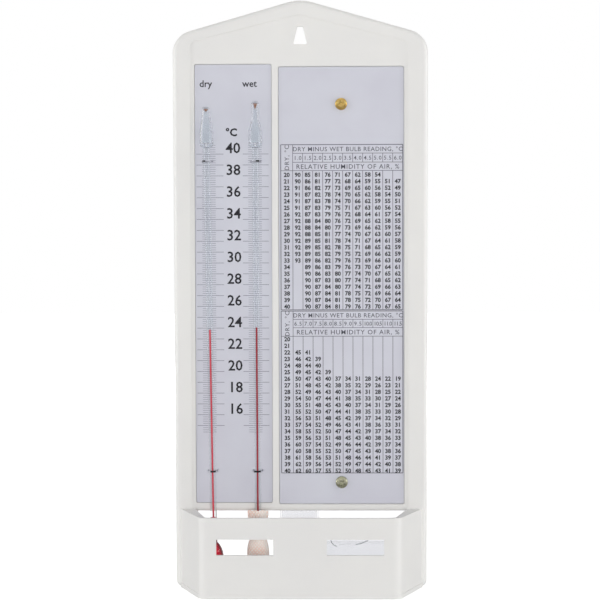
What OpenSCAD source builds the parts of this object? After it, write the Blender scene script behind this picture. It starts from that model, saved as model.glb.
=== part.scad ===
// Wet and dry bulb hygrometer that hangs on a wall.
// Millimetres. The origin is the nail seat at the top of the hanging hole, in the
// plane of the wall. +X is to the right seen from the front, +Y runs into the wall.
// Heights are named as drops, measured down from the peak of the gable.

/* [Base] */
// Width of the base over its rim, at the shoulders
base_w = 122; // [118:1:132]
// How much narrower the base is at its bottom edge
base_taper = 1.6; // [0:0.1:3]
// Height of the base from the peak to the bottom edge
base_h = 281; // [260:1:300]
// Depth of the rim, from the wall to its front face
rim_d = 19; // [18:0.5:24]
// Wall thickness of the moulding
wall = 2.2; // [1.6:0.1:2.6]
// Slope of the gable's two edges
gable_slope = 16; // [12:1:20]
// Radius of the peak
peak_r = 22; // [10:1:30]
// Radius of the two shoulders
shoulder_r = 11; // [6:1:16]
// Radius of the two bottom corners of the rim
foot_r = 3; // [2.6:0.1:6]
// Rounding of the rim's front edge
edge_r = 2.4; // [1:0.1:2.5]
// Margin of the recessed field beside the plates' seats
field_side = 1.9; // [1.4:0.1:2.6]
// Width of the raised rim above the apex of the recessed field
band_top = 6.8; // [4:0.1:8]
// Slope of the recessed field's upper edges
field_slope = 13.8; // [10:0.2:16]
// Depth of the recessed field below the rim
field_drop = 0.8; // [0.4:0.1:1.2]
// Depth of the plates' seats below the rim
seat_drop = 2.6; // [2:0.1:3.2]
// Radius of the recessed field's corners
field_r = 3; // [1:0.5:6]
// Thickness of the ribs behind the panel
rib_t = 1.4; // [1:0.1:1.8]
// Height of the ribs behind the panel
rib_h = 4; // [2:0.5:6]

/* [Hanging hole] */
// Drop of the nail seat below the peak
hang_drop = 12.4; // [10:0.1:14]
// Height of the hole
hole_h = 8.4; // [8:0.1:10]
// Width of the hole at its top
hole_top_w = 2.6; // [2:0.1:4]
// Width of the hole at its bottom
hole_foot_w = 6.6; // [6:0.1:9]
// Radius of its corners
hole_r = 0.6; // [0.2:0.1:0.8]

/* [Plates] */
// Thickness of both plates
plate_t = 0.8; // [0.5:0.1:1.2]
// Drop of the scale plate's top edge
scale_drop = 30.3; // [28:0.1:36]
// Drop of the table plate's top edge
table_drop = 31.5; // [28:0.1:36]
// Height of the scale plate's bottom edge over the slot
scale_foot = 4.1; // [4:0.1:8]
// Height of the table plate's bottom edge over the slot
table_foot = 3.5; // [3.2:0.1:8]
// Width of the scale plate
scale_w = 36.6; // [36:0.1:37.5]
// Width of the table plate
table_w = 59.8; // [56:0.1:60.4]
// Bar of the base between the plates
divider_w = 3; // [2:0.1:3.4]
// Gap round each plate in its seat
plate_gap = 0.2; // [0.1:0.05:0.3]
// Offset of the field and its pair of plates to the left
plates_left = 0.5; // [0:0.1:0.8]
// Corner radius of the plates
plate_r = 0.8; // [0.4:0.1:2]

/* [Screws of the table plate] */
// Diameter of the heads
screw_head_w = 5.8; // [5:0.1:7]
// Height of the heads
screw_head_h = 1.9; // [1.5:0.1:2.4]
// Diameter of the shanks
screw_shank_w = 2.2; // [1.8:0.1:2.6]
// Length of the shanks
screw_shank_h = 8; // [6:0.5:9]
// Width of the cross recess's arms
screw_slot_w = 0.7; // [0.5:0.1:1]
// Distance of the upper screw from the plate's top edge
screw_top_in = 17.8; // [12:0.1:24]
// Distance of the lower screw from the plate's bottom edge
screw_foot_in = 10.4; // [7:0.1:16]
// Wall of the bosses round the shanks
boss_wall = 2; // [1.4:0.1:3]

/* [Pocket round the bulbs] */
// Step between the recessed field's side and the pocket's inner side
pocket_step = 1; // [0.4:0.1:1.5]
// Depth of the pocket, from the wall to its front face
pocket_d = 49.7; // [48:0.1:56]
// Height of the pocket's walls
pocket_h = 37.8; // [37:0.1:39]
// Width of the pocket's front face, over its corners
pocket_front_w = 93; // [90:1:98]
// Radius of the pocket's two front corners
pocket_r = 5; // [3:0.5:8]
// Height of the lip round the pocket's bottom edge
lip_h = 2; // [1:0.1:3]
// How far the lip stands out from the pocket's walls
lip_d = 0.3; // [0.1:0.1:0.6]
// Width of each window
window_w = 26.6; // [20:0.1:28]
// Height of each window
window_h = 7.5; // [6:0.1:10]
// Distance of the windows from the pocket's top edge
window_drop = 10; // [8:0.1:14]
// Distance of each window from the middle
window_in = 12.5; // [11:0.1:14]
// Height of the slot's upper edge, over the pocket's bottom edge
slot_up = 36.6; // [35.6:0.1:37]

/* [Thermometers] */
// Radius of the glass stems
stem_r = 1.65; // [1.5:0.05:1.9]
// Radius of the bore that the spirit runs in
bore_r = 0.35; // [0.25:0.05:0.5]
// Radius of the safety chambers on top of the stems
chamber_r = 3.2; // [2.8:0.1:3.6]
// Radius of the bulbs
bulb_r = 4.7; // [4:0.1:4.8]
// Height of the bulbs
bulb_h = 18.8; // [16:0.2:19]
// Thickness of the bulbs' and chambers' glass
glass_t = 0.6; // [0.4:0.1:0.8]
// Gap between the glass chambers and the scale plate
chamber_gap = 0.3; // [0.2:0.1:0.8]
// Drop of the joint between stem and chamber
chamber_drop = 68.5; // [64:0.5:71]
// Height of the chambers' widest part
chamber_h = 5.5; // [4:0.5:6.5]
// Height over which the dry thermometer's chamber narrows to its tip
dry_cone_h = 10; // [6:0.5:10]
// Height over which the wet thermometer's chamber narrows to its tip
wet_cone_h = 6; // [5:0.5:10]
// Height of the dry thermometer's chamber with its tip
dry_tip_h = 18; // [17:0.5:22]
// Height of the wet thermometer's chamber with its tip
wet_tip_h = 20.5; // [17:0.5:22]
// Radius of the sealed tips
tip_r = 1.8; // [1.4:0.1:2.2]
// Thickness of the glass round the filled necks
neck_t = 0.45; // [0.3:0.05:0.6]
// Height of the filled neck over the dry bulb
dry_neck_h = 11.6; // [6:0.1:12]
// Height of the filled neck over the wet bulb
wet_neck_h = 5; // [2:0.1:6]
// Height of the dry bulb's middle over the bottom edge
dry_bulb_up = 13.3; // [11:0.1:14]
// Height of the wet bulb's middle over the bottom edge
wet_bulb_up = 17; // [16:0.1:17.4]
// Distance of the dry bulb from the scale plate's left edge
dry_in = 8.6; // [8.2:0.1:9]
// Distance of the wet bulb from the scale plate's left edge
wet_in = 29.7; // [29:0.1:30.2]
// Lean of the dry thermometer to the left
dry_lean = 0.83; // [0:0.01:1]
// Lean of the wet thermometer to the left
wet_lean = 0.2; // [0:0.02:0.6]

/* [Scale and readings] */
// Drop of the scale's 15 degree line
scale_low_drop = 203.2; // [200:0.1:206]
// Temperature of the scale's lowest numbered line, in degrees
scale_low = 15; // [14:1:16]
// Length of one degree on the scale
scale_pitch = 5.21; // [5:0.01:5.24]
// Reading of the dry thermometer, in degrees
dry_reading = 23.9; // [15:0.1:40]
// Reading of the wet thermometer, in degrees
wet_reading = 24.1; // [15:0.1:40]

/* [Wire clips] */
// Radius of the wire
wire_r = 0.4; // [0.3:0.05:0.5]
// Gap between the wire and what it passes round or through
wire_gap = 0.1; // [0.05:0.05:0.15]
// Drop of the upper clips
clip_top_drop = 76.4; // [74:0.1:84]
// Height of the lower clips over the bottom edge
clip_low_up = 56.2; // [50:0.1:60]
// Length of the bent ends behind the base
clip_bend = 2.2; // [1.5:0.1:3]

/* [Wick] */
// Thickness of the wick's cloth
wick_t = 0.45; // [0.3:0.05:0.5]
// Gap between the wick and the glass
wick_gap = 0.15; // [0.12:0.01:0.2]
// Radius of the wick's open top
wick_flare_r = 4.6; // [4:0.1:4.8]
// Height of the wick's ruffled top over the bottom edge
wick_top_up = 36.6; // [36:0.1:37]
// Height of the upper tie over the bottom edge
tie_up = 29.2; // [28.9:0.1:29.6]
// Number of folds round the ruffled top
wick_folds = 9; // [5:1:12]
// Depth of the folds
fold_d = 0.4; // [0.2:0.05:0.5]
// Slant of the ruffled top, which stands higher in front
fold_slant = 0.28; // [0:0.02:0.3]
// Radius of the wick's gathered foot
wick_foot_r = 1; // [0.8:0.1:1.4]
// Radius of the thread that ties the wick
thread_r = 0.3; // [0.2:0.05:0.35]
// Turns of thread in the upper tie
tie_turns = 2.5; // [1.5:0.5:3]
// Rise of the thread in one turn
tie_pitch = 1.1; // [1.05:0.05:1.2]
// Width of the wick's tail
tail_w = 7; // [5:0.5:7]
// Thickness of the wick's tail
tail_t = 0.8; // [0.5:0.1:1]
// Height of the tail's bend over the trough's rim
tail_rise = 2.1; // [1.8:0.1:2.6]

/* [Feeder] */
// Width of the flask's upright leg
leg_w = 19; // [17:0.5:19.5]
// Offset of the leg's middle to the left
leg_off = 1; // [0:0.1:2]
// Drop of the leg's closed top
leg_drop = 192; // [186:1:200]
// Depth of the flask, front to back
flask_d = 11.4; // [10:0.1:11.6]
// Wall thickness of the flask
flask_t = 1; // [0.8:0.1:1.2]
// Reach of the flask's side chamber to the right of the middle
flask_right = 43; // [40:0.5:44]
// Height of the side chamber's top over the bottom edge
side_up = 26; // [24:0.5:26.5]
// Gap between the wick's tail and the trough's left wall
trough_gap = 2; // [1:0.1:3]
// Height of the trough's rim over the bottom edge
trough_up = 8; // [7.4:0.1:8.4]
// Height of the flask's foot over the bottom edge
flask_foot_up = 0.6; // [0.4:0.1:1]
// Height of the mouth between flask and trough, over the flask's inner floor
mouth_h = 3.6; // [3:0.1:4]
// Height of the water in the flask, over the bottom edge
water_up = 20; // [12:0.5:22]
// Height of the water in the trough, over the mouth
trough_water = 0.4; // [0.2:0.1:0.8]
// Gap between the leg and its guides
guide_gap = 0.3; // [0.2:0.05:0.4]
// Wall of the guides that hold the leg
guide_t = 1.6; // [1.2:0.1:2]
// Lip of the guides behind the leg
guide_lip = 2; // [1.5:0.1:3]
// Length of the guides
guide_h = 40; // [25:1:44]

/* [Hidden] */
$fn = 48;

white = [0.88, 0.88, 0.87];
plate_grey = [0.78, 0.79, 0.83];
brass = [0.80, 0.68, 0.38];
nickel = [0.70, 0.70, 0.66];
clear = [0.86, 0.90, 0.92];
spirit_red = [0.72, 0.10, 0.12];
wire_dark = [0.16, 0.16, 0.17];
cloth = [0.88, 0.82, 0.78];
thread_white = [0.93, 0.92, 0.89];
water_tint = [0.78, 0.88, 0.93];

// A drop below the peak, and a height over the bottom edge, as z
function drop(d) = hang_drop - d;
function up(h) = hang_drop - base_h + h;

// Thin overlap of cuts and joined solids
cut = 1;
// Depths as y, all negative: towards the viewer
rim_y = -rim_d;
field_y = rim_y + field_drop;
seat_y = rim_y + seat_drop;
plate_y = seat_y - plate_t;
panel_y = seat_y + wall;
stem_y = plate_y - chamber_gap - chamber_r;
pocket_in_y = -pocket_d + wall;

slot_z = up(slot_up);
pocket_z = up(pocket_h);
// Heights of the cross ribs between the table plate's top edge and the leg's top
rib_shares = [0.22, 0.5, 0.78];
bead_r = (panel_y - field_y) / 2;

// Plates side by side in the field
pair_w = scale_w + divider_w + table_w + 4 * plate_gap;
field_hw = pair_w / 2 + field_side;
scale_x = -plates_left - pair_w / 2 + plate_gap;
table_x = scale_x + scale_w + 2 * plate_gap + divider_w;
scale_zs = [slot_z + scale_foot, drop(scale_drop)];
table_zs = [slot_z + table_foot, drop(table_drop)];
screw_x = table_x + table_w / 2;
screw_zs = [table_zs[1] - screw_top_in, table_zs[0] + screw_foot_in];
screw_gap = 0.1;
// Turn of each screw's recess, in degrees
screw_turns = [13, 40];

dry_x = scale_x + dry_in;
wet_x = scale_x + wet_in;
dry_z = up(dry_bulb_up);
wet_z = up(wet_bulb_up);
clip_zs = [drop(clip_top_drop), up(clip_low_up)];
liquid_gap = 0.03;
tail_gap = 0.35;

flask_y = panel_y + guide_gap;
flask_back_y = flask_y + flask_d;
flask_foot_z = up(flask_foot_up);
flask_floor_z = flask_foot_z + flask_t;
leg_top_z = drop(leg_drop);
side_z = up(side_up);
trough_z = up(trough_up);
mouth_z = flask_floor_z + mouth_h;
flask_r = 3;
trough_x = wet_x - tail_w / 2 - trough_gap - flask_t;

// Points of a corner q between p and s, rounded by r in n steps
function corner(p, q, s, r, n) =
    let (u = (p - q) / norm(p - q), v = (s - q) / norm(s - q), half = acos(u * v) / 2,
         c = q + (u + v) / norm(u + v) * r / sin(half),
         a = q + u * r / tan(half) - c, b = q + v * r / tan(half) - c,
         from = atan2(a[1], a[0]), turn = atan2(b[1], b[0]) - from,
         sweep = turn > 180 ? turn - 360 : turn < -180 ? turn + 360 : turn)
    r <= 0 ? [q] : [for (i = [0:n]) c + r * [cos(from + sweep * i / n), sin(from + sweep * i / n)]];

// Outline with each corner rounded by its own radius
function rounded(pts, radii, n = 6) =
    let (m = len(pts))
    [for (i = [0:m - 1]) each corner(pts[(i + m - 1) % m], pts[i], pts[(i + 1) % m], radii[i], n)];

// Outline of the base seen from the front, drawn in by t all round
function base_outline(t, n = 10) =
    let (hw = base_w / 2 - t, foot_hw = hw - base_taper / 2,
         top = hang_drop + peak_r * (1 / cos(gable_slope) - 1) - t / cos(gable_slope),
         shoulder = top - hw * tan(gable_slope), foot = up(t))
    rounded([[0, top], [hw, shoulder], [foot_hw, foot], [-foot_hw, foot], [-hw, shoulder]],
        [peak_r - t, shoulder_r - t, foot_r - t, foot_r - t, shoulder_r - t], n);

// Outline of the recessed field, drawn out by t, down to the height foot
function field_outline(t, foot) =
    let (hw = field_hw + t, x = -plates_left, top = drop(band_top) + t / cos(field_slope),
         shoulder = top - hw * tan(field_slope))
    rounded([[x, top], [x + hw, shoulder], [x + hw, foot], [x - hw, foot], [x - hw, shoulder]],
        [field_r + t, field_r + t, 0, 0, field_r + t]);

// Closed skin through rings that all have the same number of points
module loft(rings) {
    n = len(rings[0]);
    m = len(rings);
    function at(k, i) = k * n + i % n;
    polyhedron([for (r = rings) each r],
        concat([[for (i = [0:n - 1]) i]], [[for (i = [n - 1:-1:0]) at(m - 1, i)]],
            [for (k = [0:m - 2], i = [0:n - 1]) [at(k, i), at(k + 1, i), at(k + 1, i + 1)]],
            [for (k = [0:m - 2], i = [0:n - 1]) [at(k, i), at(k + 1, i + 1), at(k, i + 1)]]));
}

// A front-view outline pushed towards the viewer, from y = from to y = to
module fronted(from, to) {
    translate([0, from, 0]) rotate([90, 0, 0]) linear_extrude(from - to) children();
}

module box(lo, hi) {
    translate(lo) cube(hi - lo);
}

// Block of the base with its rounded front edge
module base_block() {
    steps = 6;
    stations = concat([[0, 0]], [for (i = [0:steps])
        [edge_r * (1 - cos(90 * i / steps)), rim_y + edge_r * (1 - sin(90 * i / steps))]]);
    loft([for (s = stations) let (ring = base_outline(s[0]))
        [for (i = [len(ring) - 1:-1:0]) [ring[i][0], s[1], ring[i][1]]]]);
}

// Plan of the pocket: its outside drawn out by t, and the space inside it
pocket_root = base_w / 2 - base_taper / 2 - edge_r;
module pocket_outside(t) {
    hw = pocket_front_w / 2;
    slope = (pocket_root - hw) / (pocket_d - rim_d);
    shift = t * sqrt(1 + slope * slope);
    front = hw + shift - t * slope;
    back = pocket_root + shift;
    polygon(rounded([[-back, rim_y], [-front, -pocket_d - t], [front, -pocket_d - t], [back, rim_y]],
        [0, pocket_r + t, pocket_r + t, 0], 8));
}
pocket_in_hw = field_hw - pocket_step;
module pocket_inside(back) {
    hw = pocket_front_w / 2 - wall;
    polygon(rounded([[-pocket_in_hw, back], [-pocket_in_hw, rim_y], [-hw, pocket_in_y],
        [hw, pocket_in_y], [pocket_in_hw, rim_y], [pocket_in_hw, back]],
        [0, 0, pocket_r - wall, pocket_r - wall, 0, 0], 8));
}

// Outline of a plate drawn out by t, from its left edge x and its lower and upper edge zs
module plate_outline(x, w, zs, t) {
    polygon(rounded([[x - t, zs[0] - t], [x + w + t, zs[0] - t], [x + w + t, zs[1] + t], [x - t, zs[1] + t]],
        [for (i = [1:4]) plate_r + t]));
}

// Centre line of a leaning thermometer at height z
function lean_x(x, z0, lean, z) = x - (z - z0) * tan(lean);

// The two wire holes of one clip, from y = from forward to y = to
module wire_holes(x, z, from, to) {
    for (side = [-1, 1])
        translate([x + side * (stem_r + wire_gap + wire_r), from, z])
            rotate([90, 0, 0]) cylinder(r = wire_r + wire_gap, h = from - to, $fn = 24);
}
module all_wire_holes(from, to) {
    for (z = clip_zs) {
        wire_holes(lean_x(dry_x, dry_z, dry_lean, z), z, from, to);
        wire_holes(lean_x(wet_x, wet_z, wet_lean, z), z, from, to);
    }
}

// Ribs, screw bosses and the leg's guides behind the panel
module rear_detail() {
    inner_hw = base_w / 2 - wall / 2;
    for (share = rib_shares) {
        z = table_zs[1] - share * (table_zs[1] - leg_top_z);
        box([-inner_hw, panel_y - 0.5, z - rib_t / 2], [inner_hw, panel_y + rib_h, z + rib_t / 2]);
    }
    for (x = [scale_x + scale_w / 2, screw_x + table_w / 4])
        box([x - rib_t / 2, panel_y - 0.5, leg_top_z], [x + rib_t / 2, panel_y + rib_h, table_zs[1]]);
    for (z = screw_zs)
        translate([screw_x, seat_y + 0.5, z]) rotate([-90, 0, 0])
            cylinder(r = screw_shank_w / 2 + screw_gap + boss_wall, h = screw_shank_h + 0.5);
    for (side = [-1, 1]) {
        inside = leg_w / 2 + guide_gap;
        back = flask_back_y + guide_gap;
        plan = [[inside, panel_y - wall / 2], [inside, back], [inside - guide_lip, back],
            [inside - guide_lip, back + guide_t], [inside + guide_t, back + guide_t],
            [inside + guide_t, panel_y - wall / 2]];
        translate([-leg_off, 0, slot_z + bead_r]) scale([side, 1, 1])
            linear_extrude(guide_h) polygon(plan);
    }
}

module base_moulding() color(white) difference() {
    union() {
        difference() {
            base_block();
            // The back is open: panel, gable and rim are walls of one thickness
            intersection() {
                fronted(cut, panel_y) polygon(base_outline(wall));
                box([-base_w, panel_y - cut, slot_z + bead_r], [base_w, 2 * cut, base_h]);
            }
            fronted(cut, field_y + wall) intersection() {
                polygon(field_outline(-wall, scale_zs[1] + wall));
                polygon(base_outline(wall));
            }
            fronted(cut, rim_y + wall) difference() {
                polygon(base_outline(wall));
                polygon(field_outline(wall, up(-cut)));
            }
            // The pocket's space runs right down to the bottom edge
            translate([0, 0, up(-cut)]) linear_extrude(slot_up + cut)
                pocket_inside(cut);
            box([-pocket_in_hw, panel_y, slot_z - cut], [pocket_in_hw, cut, slot_z + bead_r + cut]);
        }
        // Walls of the pocket, with the lip round their bottom edge
        translate([0, 0, up(0)]) linear_extrude(pocket_h) difference() {
            pocket_outside(0);
            pocket_inside(rim_y + cut);
        }
        translate([0, 0, up(0)]) linear_extrude(lip_h) difference() {
            pocket_outside(lip_d);
            pocket_inside(rim_y + cut);
        }
        rear_detail();
    }
    // Field and seats in the front
    fronted(field_y, rim_y - cut) polygon(field_outline(0, slot_z - 2 * bead_r));
    fronted(seat_y, rim_y - cut) {
        plate_outline(scale_x, scale_w, scale_zs, plate_gap);
        plate_outline(table_x, table_w, table_zs, plate_gap);
    }
    // Rounded lower edge of the panel
    difference() {
        box([-pocket_in_hw, field_y - cut, slot_z - cut], [pocket_in_hw, panel_y, slot_z + bead_r]);
        translate([-base_w, field_y + bead_r, slot_z + bead_r]) rotate([0, 90, 0])
            cylinder(r = bead_r, h = 2 * base_w);
    }
    // Hanging hole
    fronted(cut, rim_y - cut) polygon(rounded([[-hole_foot_w / 2, -hole_h], [hole_foot_w / 2, -hole_h],
        [hole_top_w / 2, 0], [-hole_top_w / 2, 0]], [hole_r, hole_r, hole_r, hole_r]));
    // Windows
    for (x = [-window_in - window_w, window_in])
        box([x, -pocket_d - cut, pocket_z - window_drop - window_h],
            [x + window_w, pocket_in_y + cut, pocket_z - window_drop]);
    all_wire_holes(panel_y + rib_h + cut, rim_y);
    for (z = screw_zs)
        translate([screw_x, rim_y, z]) rotate([-90, 0, 0])
            cylinder(r = screw_shank_w / 2 + screw_gap, h = seat_y - rim_y + screw_shank_h + cut);
}

module scale_plate() color(plate_grey) difference() {
    fronted(seat_y, plate_y) plate_outline(scale_x, scale_w, scale_zs, 0);
    all_wire_holes(0, rim_y - cut);
}

module table_plate() color(plate_grey) difference() {
    fronted(seat_y, plate_y) plate_outline(table_x, table_w, table_zs, 0);
    for (z = screw_zs)
        translate([screw_x, 0, z]) rotate([90, 0, 0])
            cylinder(r = screw_shank_w / 2 + screw_gap, h = rim_d + cut);
}

// Pan-head screw with its head on the plate and a cross recess turned by angle
module pan_screw(z, angle) {
    half = screw_head_w / 2;
    side = screw_head_h * 0.75;
    translate([screw_x, plate_y, z]) rotate([90, 0, 0]) {
        difference() {
            rotate_extrude() polygon(concat([[0, 0]],
                rounded([[half, 0], [half, side], [half / 2, screw_head_h], [0, screw_head_h]],
                    [0, side / 2, side, 0])));
            for (turn = [angle, angle + 90])
                rotate(turn) translate([-half / 2, -screw_slot_w / 2, screw_head_h / 2])
                    cube([half, screw_slot_w, screw_head_h]);
        }
        translate([0, 0, -screw_shank_h]) cylinder(r = screw_shank_w / 2, h = screw_shank_h);
    }
}
module table_screw_top() color(brass) pan_screw(screw_zs[0], screw_turns[0]);
module table_screw_bottom() color(nickel) pan_screw(screw_zs[1], screw_turns[1]);

// Half section of a thermometer, heights counted from the bulb's middle.
// The bulb runs up into a filled neck, and the neck's top opens into the bore. The
// stem meets the chamber at height join.
bulb_in_r = bulb_r - glass_t;
neck_in_r = stem_r - neck_t;
function bulb_curve(r, h, neck_r, n) =
    [for (i = [0:n]) let (a = -90 + i * (180 - asin(neck_r / r)) / n) [max(0, r * cos(a)), h * sin(a)]];
module glass_section(join, cone_h, tip_h) {
    step = chamber_r - stem_r;
    polygon(concat(
        bulb_curve(bulb_r, bulb_h / 2, stem_r, 18),
        rounded([[stem_r, join - step], [chamber_r, join - step / 3], [chamber_r, join + chamber_h],
            [tip_r, join + chamber_h + cone_h], [tip_r, join + tip_h], [0, join + tip_h]],
            [step / 4, step / 2, chamber_r, chamber_r, tip_r * 0.9, 0])));
}
module glass_cavity(join, neck_h, cone_h, tip_h) {
    top = join + tip_h - 2 * glass_t;
    wide_r = chamber_r - glass_t;
    polygon(concat(
        bulb_curve(bulb_in_r, bulb_h / 2 - glass_t, neck_in_r, 18),
        [[neck_in_r, bulb_h / 2 + neck_h - neck_t], [bore_r, bulb_h / 2 + neck_h]],
        rounded([[bore_r, join], [wide_r, join + glass_t], [wide_r, join + chamber_h],
            [tip_r - glass_t, join + chamber_h + cone_h], [tip_r - glass_t, top], [0, top]],
            [0, glass_t, wide_r, wide_r, (tip_r - glass_t) * 0.8, 0])));
}
module thermometer(x, z, lean, neck_h, cone_h, tip_h) {
    join = (drop(chamber_drop) - z) / cos(lean);
    translate([x, stem_y, z]) rotate([0, -lean, 0]) difference() {
        rotate_extrude($fn = 40) glass_section(join, cone_h, tip_h);
        rotate_extrude($fn = 40) glass_cavity(join, neck_h, cone_h, tip_h);
    }
}
module dry_thermometer_glass() color(clear)
    thermometer(dry_x, dry_z, dry_lean, dry_neck_h, dry_cone_h, dry_tip_h);
module wet_thermometer_glass() color(clear)
    thermometer(wet_x, wet_z, wet_lean, wet_neck_h, wet_cone_h, wet_tip_h);

// Spirit in bulb, neck and bore, up to the reading
module spirit(x, z, lean, neck_h, reading) {
    level = (drop(scale_low_drop - (reading - scale_low) * scale_pitch) - z) / cos(lean);
    neck_top = bulb_h / 2 + neck_h - liquid_gap;
    bore = bore_r - liquid_gap;
    neck = neck_in_r - liquid_gap;
    translate([x, stem_y, z]) rotate([0, -lean, 0]) rotate_extrude($fn = 32)
        polygon(concat(
            bulb_curve(bulb_in_r - liquid_gap, bulb_h / 2 - glass_t - liquid_gap, neck, 18),
            [[neck, neck_top - neck_t], [bore, neck_top], [bore, level], [0, level - bore / 2]]));
}
module dry_spirit() color(spirit_red) spirit(dry_x, dry_z, dry_lean, dry_neck_h, dry_reading);
module wet_spirit() color(spirit_red) spirit(wet_x, wet_z, wet_lean, wet_neck_h, wet_reading);

// Wire staple round the front of a stem, with its two legs bent out behind the base
module clip(x, z) {
    ring_r = stem_r + wire_gap + wire_r;
    back = panel_y + wire_r + wire_gap;
    translate([x, 0, z]) {
        translate([0, stem_y, 0]) rotate([0, 0, 180]) rotate_extrude(angle = 180)
            translate([ring_r, 0]) circle(r = wire_r, $fn = 16);
        for (side = [-1, 1]) {
            translate([side * ring_r, stem_y, 0]) rotate([-90, 0, 0])
                cylinder(r = wire_r, h = back - stem_y, $fn = 16);
            translate([side * ring_r, back, 0]) sphere(r = wire_r, $fn = 16);
            translate([side * ring_r, back, 0]) rotate([0, side * 90, 0])
                cylinder(r = wire_r, h = clip_bend, $fn = 16);
        }
    }
}
module dry_clip_upper() color(wire_dark) clip(lean_x(dry_x, dry_z, dry_lean, clip_zs[0]), clip_zs[0]);
module dry_clip_lower() color(wire_dark) clip(lean_x(dry_x, dry_z, dry_lean, clip_zs[1]), clip_zs[1]);
module wet_clip_upper() color(wire_dark) clip(lean_x(wet_x, wet_z, wet_lean, clip_zs[0]), clip_zs[0]);
module wet_clip_lower() color(wire_dark) clip(lean_x(wet_x, wet_z, wet_lean, clip_zs[1]), clip_zs[1]);

// Cloth sleeve: gathered under the bulb, tight at the upper tie, ruffled above it.
// Each station is [height over the bottom edge, radius, depth of the folds].
tie_r = stem_r + wick_gap + wick_t;
bulb_foot_up = wet_bulb_up - bulb_h / 2;
wick_sides = 36;
neck_half = tie_turns * tie_pitch / 2 + thread_r + wick_gap;
foot_neck_half = tie_pitch / 2 + thread_r + wick_gap;
foot_tie_up = bulb_foot_up - wick_t - foot_neck_half - fold_d;
bulb_stations = [for (a = [-75:10:60])
    [wet_bulb_up + (bulb_h / 2 + wick_gap) * sin(a), (bulb_r + wick_gap) * cos(a), 0]];
function thicker(s) = [s[0], s[1] + wick_t, 0.02 * s[1]];
top_stations = [[tie_up - neck_half, tie_r, 0], [tie_up + neck_half, tie_r, 0],
    [tie_up + neck_half + 2.5 * fold_d, tie_r + 2 * fold_d, fold_d / 2],
    [tie_up + neck_half + 6 * fold_d, wick_flare_r - fold_d / 4, fold_d * 0.9],
    [wick_top_up, wick_flare_r, fold_d]];
foot_stations = [[foot_tie_up - foot_neck_half - fold_d, wick_foot_r * 1.5, fold_d * 0.4],
    [foot_tie_up - foot_neck_half, wick_foot_r, 0], [foot_tie_up + foot_neck_half, wick_foot_r, 0]];
function wick_ring(s, t) = [for (i = [wick_sides - 1:-1:0])
    let (a = i * 360 / wick_sides, r = s[1] - t + s[2] * cos(wick_folds * a),
         slant = max(0, s[0] - tie_up - neck_half) * fold_slant * -sin(a))
    [lean_x(wet_x, wet_z, wet_lean, up(s[0])) + r * cos(a), stem_y + r * sin(a), up(s[0]) + slant]];
module wick_sleeve() color(cloth)
    loft(concat(
        [for (s = foot_stations) wick_ring(s, 0)],
        [for (s = bulb_stations) wick_ring(thicker(s), 0)],
        [for (s = top_stations) wick_ring(s, 0)],
        [for (i = [len(top_stations) - 1:-1:0]) wick_ring(top_stations[i], wick_t)],
        [for (i = [len(bulb_stations) - 1:-1:0]) wick_ring(bulb_stations[i], 0)],
        [wick_ring([bulb_foot_up - wick_gap, bulb_r / 8, 0], 0)]));

// Turns of thread round the wick, as one tube of six sides
function tie_path(r, z, turns) = [for (i = [0:turns * 20]) let (a = i * 18)
    [r * cos(a), r * sin(a), z + (a / 360 - turns / 2) * tie_pitch]];
module tie(x, z, r, turns) {
    path = tie_path(r + thread_r + liquid_gap, z, turns);
    rings = [for (k = [0:len(path) - 1]) let (a = k * 18) [for (j = [5:-1:0])
        path[k] + thread_r * cos(j * 60) * [cos(a), sin(a), 0] + thread_r * sin(j * 60) * [0, 0, 1]]];
    translate([x, stem_y, 0]) loft(rings);
    gaps = [for (i = [0:len(path) - 1], j = [i + 12:1:len(path) - 1]) norm(path[i] - path[j]) - 2 * thread_r];
    echo("least gap between turns of the tie", min(gaps));
}
module wick_tie_upper() color(thread_white)
    tie(lean_x(wet_x, wet_z, wet_lean, up(tie_up)), up(tie_up), tie_r, tie_turns);
module wick_tie_lower() color(thread_white)
    tie(lean_x(wet_x, wet_z, wet_lean, up(foot_tie_up)), up(foot_tie_up), wick_foot_r, 1);

// Tail of the wick: a strip from the sleeve's back over the trough's rim into the water
tail_y = stem_y + bulb_r + wick_gap + wick_t + tail_t / 2 + 0.05;
dip_y = flask_y + flask_d / 2;
tail_path = [[tail_y, wet_z + tail_t * 2], [tail_y + tail_t / 2, wet_z - tail_t * 1.5],
    [dip_y - flask_d * 0.4, trough_z + tail_rise + tail_t], [dip_y - flask_d * 0.22, trough_z + tail_rise],
    [dip_y - flask_d * 0.06, trough_z + tail_t / 2], [dip_y, trough_z - tail_rise],
    [dip_y, flask_floor_z + tail_t * 1.5]];
function side_of(i) = let (p = tail_path[max(0, i - 1)], q = tail_path[min(len(tail_path) - 1, i + 1)],
    d = (q - p) / norm(q - p)) [-d[1], d[0]] * tail_t / 2;
module wick_tail() color(cloth)
    translate([wet_x - tail_w / 2, 0, 0]) rotate([90, 0, 90]) linear_extrude(tail_w)
        polygon(concat([for (i = [0:len(tail_path) - 1]) tail_path[i] + side_of(i)],
            [for (i = [len(tail_path) - 1:-1:0]) tail_path[i] - side_of(i)]));

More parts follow.
